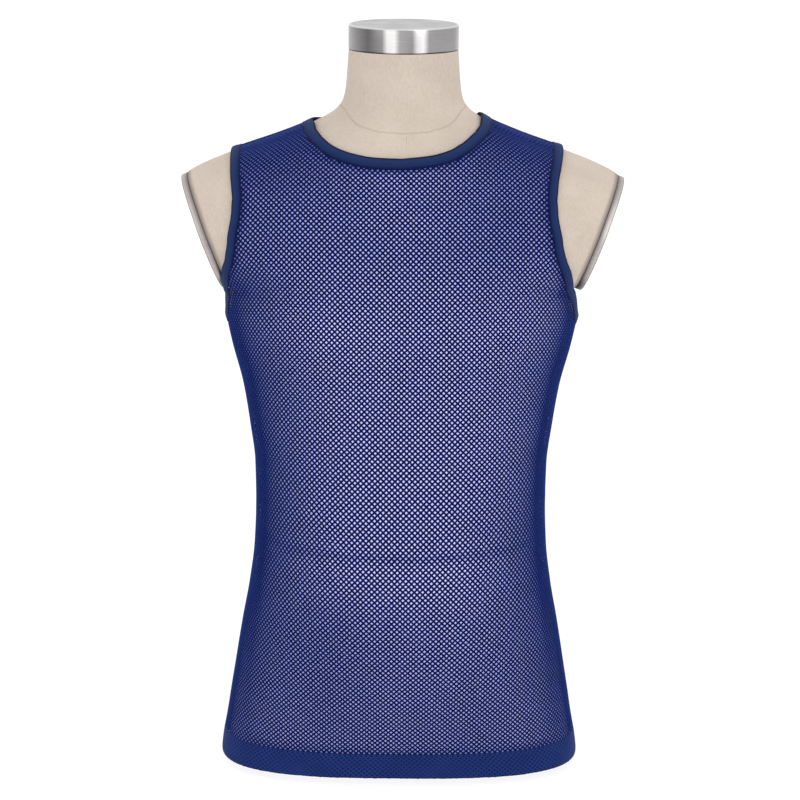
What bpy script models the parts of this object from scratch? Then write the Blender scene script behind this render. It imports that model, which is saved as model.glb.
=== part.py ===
"""A sleeveless mesh tank top as it hangs on a limbless dress form that stands on its own flat base.

The wearer's front faces -Y and the wearer's left is at +X. The origin is the middle of the base, on the
surface that the form stands on. Sizes are in millimetres and become metres in to_metres.

The form is a stack of level sections. A place on it is an angle round from centre front, 90 degrees at
the side line and 180 degrees at centre back, and a height. Each cloth piece is drawn on that skin and
then moved straight out from it by its own clearance.
"""

from math import asin, cos, degrees, pi, radians, sin

import bmesh
import bpy
from mathutils import Vector

OBJECT_NAME = "mesh_tank_top"

# ---- Driving dimensions, mm ----

# The form. height: above the base. half: half-width, and in the rows from 484 to 596 that of the whole
# shoulder, which the arm plates cut off. front, back: depth before and behind the side line.
# round: 2.0 is an ellipse, and more is squarer.
FORM_SECTIONS = [
    dict(height=0.0, half=171.0, front=103.0, back=122.5, round=2.9),
    dict(height=6.0, half=174.5, front=106.0, back=125.5, round=2.9),
    dict(height=54.0, half=168.2, front=110.0, back=129.5, round=2.7),
    dict(height=97.0, half=161.4, front=114.5, back=127.5, round=2.45),
    dict(height=139.0, half=154.6, front=117.5, back=119.0, round=2.3),
    dict(height=181.0, half=147.0, front=119.0, back=109.0, round=2.25),
    dict(height=222.0, half=142.0, front=116.5, back=100.0, round=2.25),
    dict(height=264.0, half=140.5, front=114.0, back=95.5, round=2.25),
    dict(height=305.0, half=141.3, front=113.5, back=93.5, round=2.25),
    dict(height=346.0, half=146.3, front=115.5, back=96.0, round=2.3),
    dict(height=387.0, half=153.2, front=118.5, back=100.5, round=2.3),
    dict(height=428.0, half=164.4, front=122.0, back=105.5, round=2.3),
    dict(height=455.0, half=170.5, front=124.0, back=109.0, round=2.25),
    dict(height=472.0, half=173.5, front=124.5, back=111.0, round=2.2),
    dict(height=479.0, half=175.5, front=124.5, back=111.6, round=2.17),
    dict(height=484.0, half=178.0, front=124.5, back=112.0, round=2.15),
    dict(height=491.0, half=183.0, front=124.1, back=112.5, round=2.1),
    dict(height=500.0, half=191.0, front=123.5, back=113.0, round=2.1),
    dict(height=520.0, half=208.5, front=121.0, back=113.5, round=2.1),
    dict(height=545.0, half=221.0, front=115.5, back=112.0, round=2.1),
    dict(height=570.0, half=223.0, front=107.0, back=107.5, round=2.05),
    dict(height=586.0, half=219.0, front=99.5, back=102.5, round=2.05),
    dict(height=596.0, half=210.5, front=94.5, back=98.5, round=2.0),
    dict(height=606.0, half=191.5, front=89.0, back=94.0, round=2.0),
    dict(height=616.0, half=166.2, front=83.0, back=89.5, round=2.0),
    dict(height=633.0, half=117.6, front=73.5, back=81.0, round=2.0),
    dict(height=647.0, half=84.4, front=66.0, back=72.5, round=2.0),
    dict(height=657.0, half=67.6, front=60.5, back=65.5, round=2.0),
    dict(height=668.0, half=59.2, front=57.5, back=60.0, round=2.0),
    dict(height=680.0, half=56.5, front=56.0, back=57.0, round=2.0),
    dict(height=698.0, half=55.0, front=55.0, back=55.0, round=2.0),
    dict(height=717.5, half=53.7, front=54.0, back=54.0, round=2.0),
]
BASE_HEIGHT = 0.0
NECK_TOP = 717.5

# The arm plates lean in towards their feet, and their outline is that of the shoulder where it is cut.
PLATE_FOOT = dict(half=168.3, height=484.0)
PLATE_LEAN = 21.5
PLATE_THICK = 6.5
# The form's sides are tucked in round the feet of the arm plates.
UNDERARM_TUCK = [
    dict(height=455.0, tuck=0.0),
    dict(height=472.0, tuck=2.0),
    dict(height=479.0, tuck=6.0),
    dict(height=484.0, tuck=10.1),
    dict(height=491.0, tuck=3.0),
    dict(height=500.0, tuck=0.0),
]
TUCK_SPREAD = 6.0
# Its foot is drawn in all round, so that the hem hides it.
FOOT_INSET = [
    dict(height=0.0, inset=22.0),
    dict(height=4.0, inset=15.0),
    dict(height=10.0, inset=6.5),
    dict(height=20.0, inset=0.0),
]

CAP_RADIUS = 54.0
CAP_HEIGHT = 24.5
CAP_LIP = 1.6

# The clearance between the form and the inside of the cloth, which grows a little below the chest.
CLOTH_CLEARANCE = [
    dict(height=0.0, clear=3.6),
    dict(height=346.0, clear=3.6),
    dict(height=428.0, clear=3.0),
    dict(height=484.0, clear=2.4),
    dict(height=596.0, clear=2.2),
    dict(height=660.0, clear=2.0),
]
CLOTH_WALL = 1.2
HEM_WALL = 2.4
HEM_HEIGHT = 7.5
HEM_DEPTH = 25.0
HEM_STEP = 1.5

# Seams where the panels meet the bindings. Necklines: height against the angle from centre front or back.
NECKLINE_FRONT = [
    dict(angle=0.0, height=610.0),
    dict(angle=9.0, height=611.5),
    dict(angle=18.0, height=616.0),
    dict(angle=30.0, height=624.5),
    dict(angle=42.0, height=632.3),
    dict(angle=52.0, height=637.8),
    dict(angle=75.0, height=644.6),
    dict(angle=90.0, height=646.0),
]
NECKLINE_BACK = [
    dict(angle=0.0, height=631.0),
    dict(angle=25.0, height=633.0),
    dict(angle=50.0, height=639.3),
    dict(angle=75.0, height=645.0),
    dict(angle=90.0, height=646.0),
]
# Armholes: the seam's angle from centre front or back against its height, from under the arm up to the
# shoulder, where it runs on to the tip of the shoulder seam.
ARMHOLE_FRONT = [
    dict(height=449.0, angle=90.0),
    dict(height=450.5, angle=84.0),
    dict(height=458.5, angle=77.0),
    dict(height=474.0, angle=70.5),
    dict(height=489.0, angle=62.5),
    dict(height=505.0, angle=54.0),
    dict(height=520.0, angle=47.3),
    dict(height=540.0, angle=42.6),
    dict(height=560.0, angle=41.2),
    dict(height=580.0, angle=41.8),
]
ARMHOLE_BACK = [
    dict(height=449.0, angle=90.0),
    dict(height=450.5, angle=84.0),
    dict(height=458.5, angle=77.0),
    dict(height=473.0, angle=70.0),
    dict(height=487.0, angle=61.5),
    dict(height=503.0, angle=52.5),
    dict(height=520.0, angle=45.5),
    dict(height=540.0, angle=41.3),
    dict(height=560.0, angle=40.3),
    dict(height=580.0, angle=41.3),
]
SHOULDER_TIP_REACH = 154.5
NECK_BINDING_WIDTH = 10.5
ARMHOLE_BINDING_WIDTH = 8.5
BINDING_WALL = 2.4

SEAM_GAP = 0.3

# The power in the usual short formula for a quarter of an oval.
OVAL_POWER = 1.5

# ---- How finely the pieces are divided ----

FORM_STEPS = dict(around=36, torso=1, shoulder=3)
PANEL_STEPS = dict(across=30, up=30)
PANEL_TOP_NECK = 0.52
PANEL_SIDE_SEAM = 0.55
PANEL_ROW_CROWD = 1.2
CAP_STEPS = 64
SHOULDER_RINGS = {"from": 596.0, "to": 668.0}
SEAM_SAMPLES = 240
NORMAL_STEP = 0.5
SHARP_ANGLE = 40.0
MERGE_DISTANCE = 0.00001


def to_metres(point):
    return Vector(point) * 0.001


def read_row(rows, key, value, at):
    """Reads column `value` of a table where column `key` is `at`, along a smooth line with no overshoot."""
    last = len(rows) - 1
    at = min(max(at, rows[0][key]), rows[last][key])
    low = 0
    while low < last - 1 and rows[low + 1][key] < at:
        low += 1

    def rise(i):
        step = rows[i + 1][key] - rows[i][key]
        return (rows[i + 1][value] - rows[i][value]) / step

    def slope(i):
        if i == 0 or i == last:
            return rise(min(i, last - 1))
        before, after = rise(i - 1), rise(i)
        if before * after <= 0.0:
            return 0.0
        return 2.0 * before * after / (before + after)

    step = rows[low + 1][key] - rows[low][key]
    t = (at - rows[low][key]) / step
    start, end = rows[low][value], rows[low + 1][value]
    bend_in, bend_out = slope(low) * step, slope(low + 1) * step
    return (
        start * (1.0 + 2.0 * t) * (1.0 - t) ** 2
        + bend_in * t * (1.0 - t) ** 2
        + end * t * t * (3.0 - 2.0 * t)
        + bend_out * t * t * (t - 1.0)
    )


def skin_point(angle, height):
    """The form's surface, mm. angle is in degrees from centre front, positive towards +X."""
    turn = radians(angle)
    half = read_row(FORM_SECTIONS, "height", "half", height)
    power = 2.0 / read_row(FORM_SECTIONS, "height", "round", height)
    side = "front" if cos(turn) >= 0.0 else "back"
    depth = read_row(FORM_SECTIONS, "height", side, height)
    x = half * abs(sin(turn)) ** power
    y = depth * abs(cos(turn)) ** power
    return Vector((x if sin(turn) >= 0.0 else -x, -y if side == "front" else y, height))


def skin_normal(angle, height):
    """The direction straight out of the surface, from two short lines along it."""
    around = skin_point(angle + NORMAL_STEP, height) - skin_point(angle - NORMAL_STEP, height)
    top = min(height + NORMAL_STEP, NECK_TOP)
    bottom = max(height - NORMAL_STEP, BASE_HEIGHT)
    up = skin_point(angle, top) - skin_point(angle, bottom)
    return around.cross(up).normalized()


def form_point(angle, height):
    """The surface of the form itself, which leaves the cloth under the arms and at its foot."""
    point = skin_point(angle, height)
    half = read_row(FORM_SECTIONS, "height", "half", height)
    tuck = read_row(UNDERARM_TUCK, "height", "tuck", height)
    inset = read_row(FOOT_INSET, "height", "inset", height)
    point.x *= 1.0 - tuck / half * abs(sin(radians(angle))) ** TUCK_SPREAD
    point.x *= 1.0 - inset / half
    point.y *= 1.0 - inset / abs(skin_point(0.0, height).y)
    return point


def cloth_point(angle, height):
    """The inside of the cloth: the form's surface moved straight out by the clearance."""
    clear = read_row(CLOTH_CLEARANCE, "height", "clear", height)
    return skin_point(angle, height) + skin_normal(angle, height) * clear


def angle_of_reach(height, reach):
    """The angle at which the form's surface is `reach` from the middle, as seen from the front."""
    half = read_row(FORM_SECTIONS, "height", "half", height)
    power = 2.0 / read_row(FORM_SECTIONS, "height", "round", height)
    return degrees(asin(min(reach / half, 1.0) ** (1.0 / power)))


def even_line(places, count):
    """Takes places (angle, height) along a line and gives count + 1 of them at even lengths along it."""
    lengths = [0.0]
    for before, after in zip(places, places[1:]):
        lengths.append(lengths[-1] + (skin_point(*after) - skin_point(*before)).length)
    line = []
    i = 0
    for n in range(count + 1):
        target = lengths[-1] * n / count
        while i < len(places) - 2 and lengths[i + 1] < target:
            i += 1
        t = (target - lengths[i]) / (lengths[i + 1] - lengths[i])
        line.append(tuple(a + (b - a) * t for a, b in zip(places[i], places[i + 1])))
    return line


def neckline(rows):
    """Places along a neck seam from the centre line to the top of the shoulder."""
    places = []
    for n in range(SEAM_SAMPLES + 1):
        angle = 90.0 * n / SEAM_SAMPLES
        places.append((angle, read_row(rows, "angle", "height", angle)))
    return places


def armhole(rows):
    """Places along an armhole seam from under the arm to the shoulder tip, both on the side line."""
    foot, turn = rows[0]["height"], rows[-1]["height"]
    tip = shoulder_height(SHOULDER_TIP_REACH)
    turn_reach = abs(skin_point(rows[-1]["angle"], turn).x)
    places = []
    for n in range(SEAM_SAMPLES):
        height = foot + (tip - foot) * (0.5 - 0.5 * cos(pi * n / SEAM_SAMPLES))
        if height <= turn:
            angle = read_row(rows, "height", "angle", height)
        else:
            past = (height - turn) / (tip - turn)
            angle = angle_of_reach(height, turn_reach + (SHOULDER_TIP_REACH - turn_reach) * past)
        places.append((angle, height))
    places.append((90.0, tip))
    return places


def shoulder_height(reach):
    """The height of the shoulder line at a distance from the middle."""
    low, high = SHOULDER_RINGS["from"], NECK_TOP
    for _ in range(40):
        middle = 0.5 * (low + high)
        if read_row(FORM_SECTIONS, "height", "half", middle) > reach:
            low = middle
        else:
            high = middle
    return 0.5 * (low + high)


def lerp(a, b, t):
    return tuple(p + (q - p) * t for p, q in zip(a, b))


def quarter_length(height, side):
    """About how far it is round the form from the centre line to the side line, mm."""
    half = read_row(FORM_SECTIONS, "height", "half", height)
    depth = read_row(FORM_SECTIONS, "height", side, height)
    return (half**OVAL_POWER + depth**OVAL_POWER) ** (1.0 / OVAL_POWER)


def flatten(place, side):
    """Turns (angle, height) into a place on the flat pattern, mm out from the centre line and up."""
    angle, height = place
    return angle / 90.0 * quarter_length(height, side), height


def wrap(place, side):
    """Turns a place on the flat pattern back into (angle, height)."""
    out, height = place
    return 90.0 * out / quarter_length(height, side), height


def row_shares():
    """How far up each row of a panel's grid is: 0 at the hem, then the two sides of the step at the top
    of the turned hem, then closer and closer rows up to 1 on the shoulder."""
    whole = NECKLINE_FRONT[0]["height"] - HEM_HEIGHT
    above = (HEM_DEPTH + HEM_STEP) / whole
    rest = PANEL_STEPS["up"] - 2
    shares = [0.0, HEM_DEPTH / whole]
    for n in range(rest + 1):
        crowded = 1.0 - (1.0 - n / rest) ** PANEL_ROW_CROWD
        shares.append(above + (1.0 - above) * crowded)
    return shares


def neck_steps():
    """How many steps of a panel's grid lie on half of its neck seam."""
    return round(PANEL_STEPS["across"] / 2 * PANEL_TOP_NECK)


def armhole_steps():
    """How many steps of a panel's grid lie on its armhole seam."""
    return sum(share >= PANEL_SIDE_SEAM for share in row_shares()) - 1


def panel_edge(centre, hole, shares):
    """Places on the outer edge, one for each row: up the side seam, then round the armhole."""
    seam_rows = len(shares) - 1 - armhole_steps()
    lift = hole[0][1] - centre[seam_rows][1]
    edge = []
    for row in range(seam_rows):
        edge.append((90.0, centre[row][1] + lift * (shares[row] / shares[seam_rows]) ** 2))
    return edge + even_line(hole, armhole_steps())


def panel_places(side, neck_rows, armhole_rows):
    """A grid of places over half a panel, [row][column], from the centre line out and from the hem up.

    Its edges are the hem, the side seam with the armhole above it, the neck seam with the shoulder seam
    beyond it, and the centre line. The inside is blended between the four on the flat pattern.
    """
    half_across = PANEL_STEPS["across"] // 2
    shoulder_steps = half_across - neck_steps()
    shares = row_shares()
    neck = neckline(neck_rows)
    hole = armhole(armhole_rows)
    shoulder = [lerp(neck[-1], hole[-1], n / SEAM_SAMPLES) for n in range(SEAM_SAMPLES + 1)]
    top = even_line(neck, neck_steps())[:-1] + even_line(shoulder, shoulder_steps)
    centre = [lerp((0.0, HEM_HEIGHT), top[0], share) for share in shares]
    edge = panel_edge(centre, hole, shares)
    top = [flatten(place, side) for place in top]
    edge = [flatten(place, side) for place in edge]
    hem = [lerp(centre[0], edge[0], n / half_across) for n in range(half_across + 1)]

    grid = []
    for row, v in enumerate(shares):
        line = []
        for column in range(half_across + 1):
            u = column / half_across
            across = lerp(centre[row], edge[row], u)
            upward = lerp(hem[column], top[column], v)
            corners = lerp(lerp(hem[0], hem[-1], u), lerp(top[0], top[-1], u), v)
            place = tuple(a + b - c for a, b, c in zip(across, upward, corners))
            line.append(wrap(place, side))
        grid.append(line)
    return grid


# ---- The pieces ----

NAVY_MESH = dict(name="navy_mesh", colour=(0.012, 0.026, 0.135), roughness=0.75, metallic=0.0)
NAVY_JERSEY = dict(name="navy_jersey", colour=(0.016, 0.028, 0.105), roughness=0.7, metallic=0.0)
LINEN = dict(name="linen_cover", colour=(0.62, 0.53, 0.44), roughness=0.85, metallic=0.0)
STEEL = dict(name="brushed_steel", colour=(0.62, 0.61, 0.6), roughness=0.28, metallic=1.0)


def clear_scene():
    for old in list(bpy.data.objects):
        bpy.data.objects.remove(old, do_unlink=True)


def make_material(finish):
    material = bpy.data.materials.get(finish["name"]) or bpy.data.materials.new(finish["name"])
    material.use_nodes = True
    shader = material.node_tree.nodes["Principled BSDF"]
    shader.inputs["Base Color"].default_value = (*finish["colour"], 1.0)
    shader.inputs["Roughness"].default_value = finish["roughness"]
    shader.inputs["Metallic"].default_value = finish["metallic"]
    return material


def add_object(name, form, finish, collection):
    """Turns a bmesh into a named, smooth-shaded object with its material."""
    mesh = bpy.data.meshes.new(name)
    form.to_mesh(mesh)
    form.free()
    mesh.shade_smooth()
    mesh.set_sharp_from_angle(angle=radians(SHARP_ANGLE))
    mesh.materials.append(make_material(finish))
    thing = bpy.data.objects.new(name, mesh)
    collection.objects.link(thing)
    return thing


def shaped_grid(columns, rows, place_vertex):
    """A flat grid whose vertices are moved to place_vertex(column, row), mm."""
    form = bmesh.new()
    bmesh.ops.create_grid(form, x_segments=columns, y_segments=rows, size=0.5)
    steps = {}
    for vertex in form.verts:
        steps[vertex] = (round((vertex.co.x + 0.5) * columns), round((vertex.co.y + 0.5) * rows))
    for vertex, (column, row) in steps.items():
        vertex.co = to_metres(place_vertex(column, row))
    return form, steps


def close_round(form):
    """Joins the first and last columns of a grid that runs all the way round."""
    bmesh.ops.remove_doubles(form, verts=form.verts, dist=MERGE_DISTANCE)


def add_wall(thing, thick, thin_share=None):
    """Gives an open sheet its thickness, outwards. thin_share is that of the points outside its group."""
    wall = thing.modifiers.new("wall", "SOLIDIFY")
    wall.thickness = thick * 0.001
    wall.offset = 1.0
    if thin_share is not None:
        wall.vertex_group = "turned_hem"
        wall.thickness_vertex_group = thin_share


def make_panel(name, centre_angle, side, neck_rows, armhole_rows, collection):
    """The front or the back: mesh from side seam to side seam, thicker where its hem is turned up."""
    places = panel_places(side, neck_rows, armhole_rows)
    middle = PANEL_STEPS["across"] // 2
    apart = Vector((0.0, SEAM_GAP / 2.0 if side == "back" else -SEAM_GAP / 2.0, 0.0))

    def place_vertex(column, row):
        angle, height = places[row][abs(column - middle)]
        turn = angle if column >= middle else -angle
        return cloth_point(centre_angle + turn, height) + apart

    form, steps = shaped_grid(PANEL_STEPS["across"], PANEL_STEPS["up"], place_vertex)
    hem_points = [vertex.index for vertex, (_, row) in steps.items() if row <= 1]
    panel = add_object(name, form, NAVY_MESH, collection)
    panel.vertex_groups.new(name="turned_hem").add(hem_points, 1.0, "REPLACE")
    add_wall(panel, HEM_WALL, thin_share=CLOTH_WALL / HEM_WALL)
    return panel


def make_binding(name, line, width, collection):
    """A flat ring of folded jersey beside a closed seam line, on the far side of it from the panels.

    line holds places (angle, height) all the way round, running so that the panels are on its left as
    seen from outside.
    """
    count = len(line)

    def place_vertex(column, row):
        n = column % count
        here = cloth_point(*line[n])
        along = cloth_point(*line[(n + 1) % count]) - cloth_point(*line[n - 1])
        away = along.cross(skin_normal(*line[n])).normalized()
        return here + away * (SEAM_GAP + width * (1 - row))

    form, _ = shaped_grid(count, 1, place_vertex)
    close_round(form)
    ring = add_object(name, form, NAVY_JERSEY, collection)
    add_wall(ring, BINDING_WALL)
    return ring


def neck_loop():
    """The neck seam from centre front round by the right shoulder, with the panels' own points."""
    front = even_line(neckline(NECKLINE_FRONT), neck_steps())
    back = even_line(neckline(NECKLINE_BACK), neck_steps())
    loop = [(360.0 - angle, height) for angle, height in front[:-1]]
    loop += [(180.0 + angle, height) for angle, height in reversed(back[1:])]
    loop += [(180.0 - angle, height) for angle, height in back[:-1]]
    loop += [(angle, height) for angle, height in reversed(front[1:])]
    return loop


def armhole_loop(left):
    """An armhole seam from under the arm, up the front to the tip and down the back, likewise."""
    front = even_line(armhole(ARMHOLE_FRONT), armhole_steps())
    back = even_line(armhole(ARMHOLE_BACK), armhole_steps())
    loop = [(angle, height) for angle, height in front[:-1]]
    loop += [(180.0 - angle, height) for angle, height in reversed(back[1:])]
    if left:
        return loop
    return [(360.0 - angle, height) for angle, height in reversed(loop)]


def form_levels():
    """The heights of the form's rings: its foot and its sections, with more over the shoulders."""
    foot = {row["height"] for row in FOOT_INSET}
    levels = sorted(foot - {row["height"] for row in FORM_SECTIONS})
    for low, high in zip(FORM_SECTIONS, FORM_SECTIONS[1:]):
        on_shoulder = SHOULDER_RINGS["from"] <= low["height"] < SHOULDER_RINGS["to"]
        steps = FORM_STEPS["shoulder"] if on_shoulder else FORM_STEPS["torso"]
        for n in range(steps):
            levels.append(low["height"] + (high["height"] - low["height"]) * n / steps)
    return sorted(levels) + [NECK_TOP]


def whole_form():
    """The torso and neck with their shoulders still whole, closed flat at the base and the neck."""
    levels = form_levels()
    around = FORM_STEPS["around"]

    def place_vertex(column, row):
        return form_point(360.0 * column / around, levels[row])

    form, _ = shaped_grid(around, len(levels) - 1, place_vertex)
    close_round(form)
    rims = [edge for edge in form.edges if edge.is_boundary]
    bmesh.ops.holes_fill(form, edges=rims)
    bmesh.ops.recalc_face_normals(form, faces=form.faces)
    return form


def plate_plane(side, out):
    """A point on, and the direction of, the plane that cuts a shoulder, `out` mm beyond it."""
    lean = radians(PLATE_LEAN)
    facing = Vector((side * cos(lean), 0.0, -sin(lean)))
    foot = Vector((side * PLATE_FOOT["half"], 0.0, PLATE_FOOT["height"]))
    return to_metres(foot + facing * out), facing


def cut_shoulder(form, side, out):
    """Cuts off the form beyond a shoulder's plane, and closes the cut with one flat face."""
    point, facing = plate_plane(side, out)
    lowest = (PLATE_FOOT["height"] - SEAM_GAP) * 0.001
    verts = {vert for vert in form.verts if vert.co.z > lowest}
    parts = list(verts)
    parts += [part for part in form.edges[:] + form.faces[:] if verts.issuperset(part.verts)]
    cut = bmesh.ops.bisect_plane(form, geom=parts, plane_co=point, plane_no=facing, clear_outer=True)
    rim = [part for part in cut["geom_cut"] if isinstance(part, bmesh.types.BMEdge)]
    filled = bmesh.ops.edgeloop_fill(form, edges=rim)
    bmesh.ops.recalc_face_normals(form, faces=form.faces)
    return filled["faces"][0]


def make_form(collection):
    form = whole_form()
    for side in (-1, 1):
        cut_shoulder(form, side, 0.0)
    return add_object("dress_form", form, LINEN, collection)


def make_plate(name, side, collection):
    """A flat plate with the outline of the cut shoulder."""
    form = whole_form()
    outline = cut_shoulder(form, side, SEAM_GAP)
    others = [face for face in form.faces if face is not outline]
    bmesh.ops.delete(form, geom=others, context="FACES")
    facing = plate_plane(side, 0.0)[1]
    grown = bmesh.ops.extrude_face_region(form, geom=form.faces[:], use_keep_orig=True)
    moved = [part for part in grown["geom"] if isinstance(part, bmesh.types.BMVert)]
    bmesh.ops.translate(form, verts=moved, vec=to_metres(facing * PLATE_THICK))
    bmesh.ops.recalc_face_normals(form, faces=form.faces)
    return add_object(name, form, STEEL, collection)


def make_cap(collection):
    """The round cap on the neck, turned from its profile."""
    foot = NECK_TOP + SEAM_GAP
    top = foot + CAP_HEIGHT
    profile = [
        (0.0, top),
        (CAP_RADIUS - 2.0 * CAP_LIP, top),
        (CAP_RADIUS - 0.6 * CAP_LIP, top - 0.3 * CAP_LIP),
        (CAP_RADIUS, top - CAP_LIP),
        (CAP_RADIUS, foot + CAP_LIP),
        (CAP_RADIUS - CAP_LIP, foot),
        (0.0, foot),
    ]
    mesh = bpy.data.meshes.new("neck_cap")
    points = [to_metres((radius, 0.0, height)) for radius, height in profile]
    mesh.from_pydata(points, [(n, n + 1) for n in range(len(points) - 1)], [])
    mesh.materials.append(make_material(STEEL))
    cap = bpy.data.objects.new("neck_cap", mesh)
    collection.objects.link(cap)
    turn = cap.modifiers.new("turn", "SCREW")
    turn.axis = "Z"
    turn.steps = turn.render_steps = CAP_STEPS
    turn.use_merge_vertices = True
    turn.merge_threshold = MERGE_DISTANCE
    turn.use_smooth_shade = True
    return cap


def build():
    clear_scene()
    collection = bpy.data.collections.new(OBJECT_NAME)
    bpy.context.scene.collection.children.link(collection)
    make_form(collection)
    make_cap(collection)
    make_plate("arm_plate_right", -1, collection)
    make_plate("arm_plate_left", 1, collection)
    make_panel("front_panel", 0.0, "front", NECKLINE_FRONT, ARMHOLE_FRONT, collection)
    make_panel("back_panel", 180.0, "back", NECKLINE_BACK, ARMHOLE_BACK, collection)
    make_binding("neck_binding", neck_loop(), NECK_BINDING_WIDTH, collection)
    for name, left in (("armhole_binding_left", True), ("armhole_binding_right", False)):
        make_binding(name, armhole_loop(left), ARMHOLE_BINDING_WIDTH, collection)


build()
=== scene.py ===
from math import asin, cos, degrees, pi, radians, sin

import bmesh
import bpy
import numpy as np
from mathutils import Matrix, Vector, kdtree


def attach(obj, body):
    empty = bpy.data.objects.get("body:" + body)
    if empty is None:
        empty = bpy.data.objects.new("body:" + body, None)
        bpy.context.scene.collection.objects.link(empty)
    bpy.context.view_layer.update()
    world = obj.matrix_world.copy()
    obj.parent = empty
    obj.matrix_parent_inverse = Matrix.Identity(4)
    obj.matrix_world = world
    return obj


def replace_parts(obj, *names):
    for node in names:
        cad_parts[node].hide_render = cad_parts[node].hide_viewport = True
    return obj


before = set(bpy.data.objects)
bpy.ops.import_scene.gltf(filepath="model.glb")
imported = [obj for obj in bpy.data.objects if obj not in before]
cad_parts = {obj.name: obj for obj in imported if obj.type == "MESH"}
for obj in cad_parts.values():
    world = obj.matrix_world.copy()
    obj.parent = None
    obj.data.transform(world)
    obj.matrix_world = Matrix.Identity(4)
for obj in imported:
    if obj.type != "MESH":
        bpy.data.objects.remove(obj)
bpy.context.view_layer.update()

mm = 0.001
mergeGap = 0.00001  # metres
farOff = 50.0  # mm, past anything near an edge
clothMap = "cloth"
rng = np.random.default_rng(7)


def table(columns, *rows):  # rows of numbers under named columns
    return [dict(zip(columns.split(), row)) for row in rows]


# Sizes shared with the part's source, all in mm. The form is level sections: angle 0 is centre
# front, 90 the side line, 180 centre back. round: 2 is an oval, more is squarer.
formSections = table(
    "height half front back round",
    (0, 171, 103, 122.5, 2.9),
    (6, 174.5, 106, 125.5, 2.9),
    (54, 168.2, 110, 129.5, 2.7),
    (97, 161.4, 114.5, 127.5, 2.45),
    (139, 154.6, 117.5, 119, 2.3),
    (181, 147, 119, 109, 2.25),
    (222, 142, 116.5, 100, 2.25),
    (264, 140.5, 114, 95.5, 2.25),
    (305, 141.3, 113.5, 93.5, 2.25),
    (346, 146.3, 115.5, 96, 2.3),
    (387, 153.2, 118.5, 100.5, 2.3),
    (428, 164.4, 122, 105.5, 2.3),
    (455, 170.5, 124, 109, 2.25),
    (472, 173.5, 124.5, 111, 2.2),
    (479, 175.5, 124.5, 111.6, 2.17),
    (484, 178, 124.5, 112, 2.15),
    (491, 183, 124.1, 112.5, 2.1),
    (500, 191, 123.5, 113, 2.1),
    (520, 208.5, 121, 113.5, 2.1),
    (545, 221, 115.5, 112, 2.1),
    (570, 223, 107, 107.5, 2.05),
    (586, 219, 99.5, 102.5, 2.05),
    (596, 210.5, 94.5, 98.5, 2),
    (606, 191.5, 89, 94, 2),
    (616, 166.2, 83, 89.5, 2),
    (633, 117.6, 73.5, 81, 2),
    (647, 84.4, 66, 72.5, 2),
    (657, 67.6, 60.5, 65.5, 2),
    (668, 59.2, 57.5, 60, 2),
    (680, 56.5, 56, 57, 2),
    (698, 55, 55, 55, 2),
    (717.5, 53.7, 54, 54, 2),
)
neckTop, shoulderFoot = 717.5, 596.0
underarmTuck = table("height tuck", (455, 0), (472, 2), (479, 6), (484, 10.1), (491, 3), (500, 0))
tuckSpread = 6.0
footInset = table("height inset", (0, 22), (4, 15), (10, 6.5), (20, 0))
clothClearance = table(
    "height clear",
    (0, 3.6), (346, 3.6), (428, 3), (484, 2.4), (596, 2.2), (660, 2),
)
armPlate = dict(half=168.3, height=484.0, lean=21.5, thick=6.5, gap=0.3, closest=1.5)
neckCap = dict(radius=54.0, high=24.5, gap=0.3, lip=1.6, steps=128, sharp=50.0)

necklines = {
    "front": table(
        "angle height",
        (0, 610), (9, 611.5), (18, 616), (30, 624.5), (42, 632.3), (52, 637.8), (75, 644.6),
        (90, 646),
    ),
    "back": table("angle height", (0, 631), (25, 633), (50, 639.3), (75, 645), (90, 646)),
}
armholes = {
    "front": table(
        "height angle",
        (449, 90), (450.5, 84), (458.5, 77), (474, 70.5), (489, 62.5), (505, 54), (520, 47.3),
        (540, 42.6), (560, 41.2), (580, 41.8),
    ),
    "back": table(
        "height angle",
        (449, 90), (450.5, 84), (458.5, 77), (473, 70), (487, 61.5), (503, 52.5), (520, 45.5),
        (540, 41.3), (560, 40.3), (580, 41.3),
    ),
}
shoulderTipReach = 154.5
hem = dict(height=7.5, depth=25.0)
# The top has slipped a little towards the wearer's right. out: mm that each armhole seam moves
# that way, and narrow: mm that both move in.
armholeSlip = table(
    "height out narrow",
    (449, 0, 0), (479, 1.6, -0.8), (491, 4.8, -1.4), (504, 5.5, -1.4), (516, 5.9, -0.9),
    (528, 6.8, -1.2), (552, 7.4, -1.1), (577, 7.7, 1.4), (598, 7.8, 1.8), (608, 7, 1.5),
    (623, 5.6, 0.6),
)
# left, right: mm that the neck seam is higher on the wearer's left or right than in the part.
neckSlip = {
    "front": table(
        "angle left right",
        (0, 0, 0), (4, 0.6, -0.3), (9, 1.2, -0.6), (14, 1.8, -1), (19, 2.3, -1.4), (24, 2.9, -1.9),
        (28, 2.7, -2.3), (31, 2.7, -2.4), (35, 2.6, -2.5), (39, 2.4, -2.7), (44, 1.7, -3.2),
        (51, 1.1, -3.7), (60, 0.8, -3.9), (72, 0.9, -4), (81, 1.1, -4.5), (90, 1.4, -4.9),
    ),
    "back": table(
        "angle left right",
        (0, 0, 0), (25, 0.2, -1.6), (50, 0.4, -3.6), (75, 1.1, -4.9), (90, 1.4, -4.9),
    ),
}
handSign = {"left": 1.0, "right": -1.0}


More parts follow.
